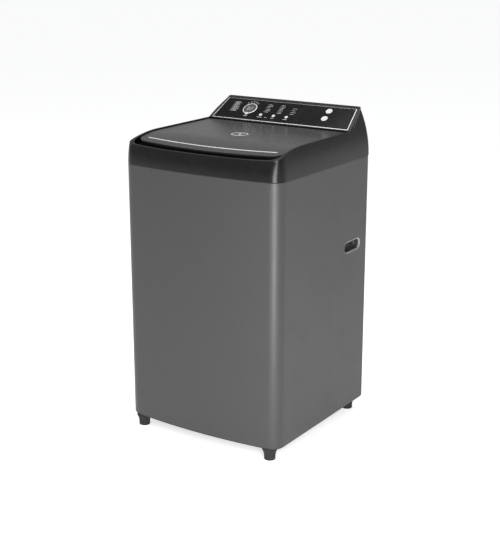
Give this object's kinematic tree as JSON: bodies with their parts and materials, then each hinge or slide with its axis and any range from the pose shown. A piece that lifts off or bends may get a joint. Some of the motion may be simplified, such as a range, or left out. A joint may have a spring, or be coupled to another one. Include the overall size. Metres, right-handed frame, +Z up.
{
  "type": "top load washing machine",
  "caption": "Top load washing machine: grey steel cabinet, dark cover with sloping glass control panel, curved glass lid, and a sprung tub with basket and pulsator.",
  "frame": {"origin": "on the floor, under the middle of the footprint", "axes": "+Z up, -Y out of the front, +X to the right of someone who looks along +Y at the front"},
  "size_m": [0.54, 0.54, 0.97],
  "materials": {
    "cabinet_paint": "satin grey",
    "cover_plastic": "fine matt grain",
    "black_plastic": "matt",
    "handle_plastic": "matt",
    "lid_glass": "dark tinted, back printed",
    "panel_glass": "gloss black, back printed",
    "bright_trim": "polished",
    "silver_trim": "silver lacquer",
    "display": "smoked",
    "button_white": "gloss",
    "badge_metal": "satin",
    "zinc_steel": "zinc plated",
    "stainless": "bright annealed",
    "tub_plastic": "natural polypropylene",
    "white_plastic": "gloss",
    "filter_plastic": "matt",
    "rubber": "matt",
    "cast_aluminium": "as cast",
    "motor_steel": "varnished laminations",
    "circuit_board": "solder mask",
    "valve_plastic": "nylon"
  },
  "bodies": {
    "cabinet": {"cabinet_shell": "cabinet_paint", "rear_panel": "zinc_steel", "rear_screws": "zinc_steel", "base_frame": "black_plastic", "rear_feet": "rubber", "left_handle_cup": "handle_plastic", "right_handle_cup": "handle_plastic", "top_cover": "cover_plastic", "lid_hinge_brackets": "black_plastic", "lid_sensor": "white_plastic", "console_back_cover": "cover_plastic", "panel_border": "silver_trim", "control_panel_glass": "panel_glass", "display_ring": "bright_trim", "display_window": "display", "button_carrier": "black_plastic", "control_board": "circuit_board", "inlet_valve": "valve_plastic", "detergent_housing": "tub_plastic", "pressure_sensor": "valve_plastic", "cord_gland": "black_plastic", "drain_outlet": "black_plastic", "suspension_brackets": "zinc_steel", "suspension_rods": "zinc_steel"},
    "lid": {"lid_frame": "black_plastic", "lid_glass": "lid_glass", "lid_strip": "bright_trim", "lid_badge": "badge_metal", "lid_bumpers": "rubber"},
    "tub": {"outer_tub": "tub_plastic", "tub_cover_ring": "tub_plastic", "air_chamber": "tub_plastic", "mount_plate": "zinc_steel", "clutch_housing": "cast_aluminium", "shaft_bearings": "zinc_steel", "drive_motor": "motor_steel", "drive_belt": "rubber", "drain_valve": "valve_plastic", "drain_actuator": "valve_plastic", "suspension_cups": "black_plastic", "suspension_springs": "zinc_steel"},
    "basket": {"spin_basket": "stainless", "basket_base": "tub_plastic", "balance_ring": "white_plastic", "lint_filters": "filter_plastic", "spin_shaft": "zinc_steel"},
    "pulsator": {"pulsator": "white_plastic"},
    "drive_pulley": {"drive_pulley": "cast_aluminium"},
    "motor_pulley": {"motor_pulley": "cast_aluminium"},
    "drain_plunger": {"drain_plunger": "zinc_steel"},
    "clutch_lever": {"clutch_lever": "zinc_steel"},
    "detergent_drawer": {"detergent_drawer": "white_plastic"},
    "front_left_foot": {"front_left_foot": "rubber"},
    "front_right_foot": {"front_right_foot": "rubber"},
    "program_button": {"program_button": "button_white"},
    "temperature_button": {"temperature_button": "button_white"},
    "level_button": {"level_button": "button_white"},
    "spin_button": {"spin_button": "button_white"},
    "power_button": {"power_button": "button_white"},
    "start_button": {"start_button": "button_white"}
  },
  "joints": [
    {"name": "lid_hinge", "type": "hinge", "parent": "cabinet", "child": "lid", "pos_m": [0, 0.14965, 0.896], "axis": [-1, 0, 0], "range_deg": [0, 96]},
    {"name": "tub_bounce", "type": "slide", "parent": "cabinet", "child": "tub", "axis": [0, 0, 1], "range_m": [-0.03, 0.006], "stiffness_N_per_m": 9000, "springref_m": 0.0273, "deforming": ["suspension_springs"]},
    {"name": "basket_spin", "type": "hinge", "parent": "tub", "child": "basket", "pos_m": [0, -0.005, 0.3], "axis": [0, 0, 1], "continuous": true},
    {"name": "drive_pulley_spin", "type": "hinge", "parent": "tub", "child": "drive_pulley", "pos_m": [0, -0.005, 0.18], "axis": [0, 0, 1], "continuous": true},
    {"name": "pulsator_spin", "type": "hinge", "parent": "tub", "child": "pulsator", "pos_m": [0, -0.005, 0.35], "axis": [0, 0, 1], "continuous": true},
    {"name": "motor_spin", "type": "hinge", "parent": "tub", "child": "motor_pulley", "pos_m": [-0.09495, 0.08669, 0.18], "axis": [0, 0, 1], "continuous": true},
    {"name": "drain_pull", "type": "slide", "parent": "tub", "child": "drain_plunger", "axis": [-1, 0, 0], "range_m": [0, 0.012], "stiffness_N_per_m": 400},
    {"name": "clutch_lever_swing", "type": "hinge", "parent": "tub", "child": "clutch_lever", "pos_m": [0.06, 0.048, 0.268], "axis": [0, 0, 1], "range_deg": [0, 20]},
    {"name": "drawer_slide", "type": "slide", "parent": "cabinet", "child": "detergent_drawer", "axis": [0, -1, 0], "range_m": [0, 0.06]},
    {"name": "front_left_foot_screw", "type": "slide", "parent": "cabinet", "child": "front_left_foot", "axis": [0, 0, -1], "range_m": [0, 0.012]},
    {"name": "front_right_foot_screw", "type": "slide", "parent": "cabinet", "child": "front_right_foot", "axis": [0, 0, -1], "range_m": [0, 0.012]},
    {"name": "program_button_press", "type": "slide", "parent": "cabinet", "child": "program_button", "axis": [0, 0.5446, -0.8387], "range_m": [0, 0.0015], "stiffness_N_per_m": 500},
    {"name": "temperature_button_press", "type": "slide", "parent": "cabinet", "child": "temperature_button", "axis": [0, 0.5446, -0.8387], "range_m": [0, 0.0015], "stiffness_N_per_m": 500},
    {"name": "level_button_press", "type": "slide", "parent": "cabinet", "child": "level_button", "axis": [0, 0.5446, -0.8387], "range_m": [0, 0.0015], "stiffness_N_per_m": 500},
    {"name": "spin_button_press", "type": "slide", "parent": "cabinet", "child": "spin_button", "axis": [0, 0.5446, -0.8387], "range_m": [0, 0.0015], "stiffness_N_per_m": 500},
    {"name": "power_button_press", "type": "slide", "parent": "cabinet", "child": "power_button", "axis": [0, 0.5446, -0.8387], "range_m": [0, 0.0015], "stiffness_N_per_m": 500},
    {"name": "start_button_press", "type": "slide", "parent": "cabinet", "child": "start_button", "axis": [0, 0.5446, -0.8387], "range_m": [0, 0.0015], "stiffness_N_per_m": 500}
  ],
  "couplings": [
    {"joint": "motor_spin", "follows": "drive_pulley_spin", "ratio": 3.125},
    {"joint": "pulsator_spin", "follows": "drive_pulley_spin", "ratio": 0.2},
    {"joint": "clutch_lever_swing", "follows": "drain_pull", "rad_per_m": 28.3}
  ]
}
